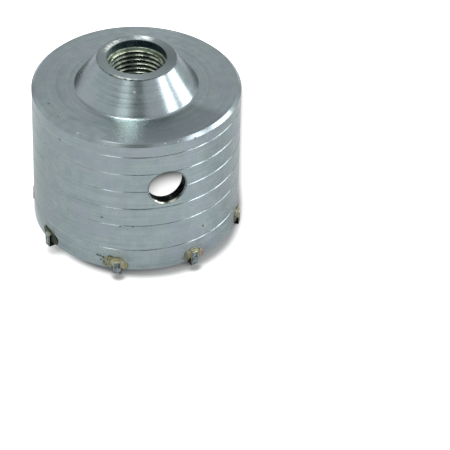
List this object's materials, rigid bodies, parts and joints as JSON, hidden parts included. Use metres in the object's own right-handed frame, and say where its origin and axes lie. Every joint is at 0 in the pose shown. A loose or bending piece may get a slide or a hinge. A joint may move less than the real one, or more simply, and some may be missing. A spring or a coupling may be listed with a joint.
{
  "type": "concrete core bit",
  "caption": "Hollow steel cup for coring concrete and masonry, with hard-metal teeth brazed into its rim, a round side window, ring grooves and a conical boss with a tapped drive bore.",
  "frame": {"origin": "on the turning axis, in the plane of the tooth tips that the bit stands on", "axes": "+Z along the turning axis towards the drive end, -Y through the middle of the side window, +X to the right when the window is seen from outside"},
  "size_m": [0.08, 0.0801, 0.0727],
  "materials": {
    "turned_steel": "bare turned steel, satin, with fine tool marks, specks and nicks",
    "hard_metal": "dark grey sintered hard metal, matt",
    "braze_brass": "brass braze, uneven, tarnished to olive and brown"
  },
  "bodies": {
    "root": {"body": "turned_steel", "carbide_tooth_1": "hard_metal", "carbide_tooth_2": "hard_metal", "carbide_tooth_3": "hard_metal", "carbide_tooth_4": "hard_metal", "carbide_tooth_5": "hard_metal", "carbide_tooth_6": "hard_metal", "carbide_tooth_7": "hard_metal", "carbide_tooth_8": "hard_metal", "braze_1": "braze_brass", "braze_2": "braze_brass", "braze_3": "braze_brass", "braze_4": "braze_brass", "braze_5": "braze_brass", "braze_6": "braze_brass", "braze_7": "braze_brass", "braze_8": "braze_brass"}
  },
  "joints": []
}
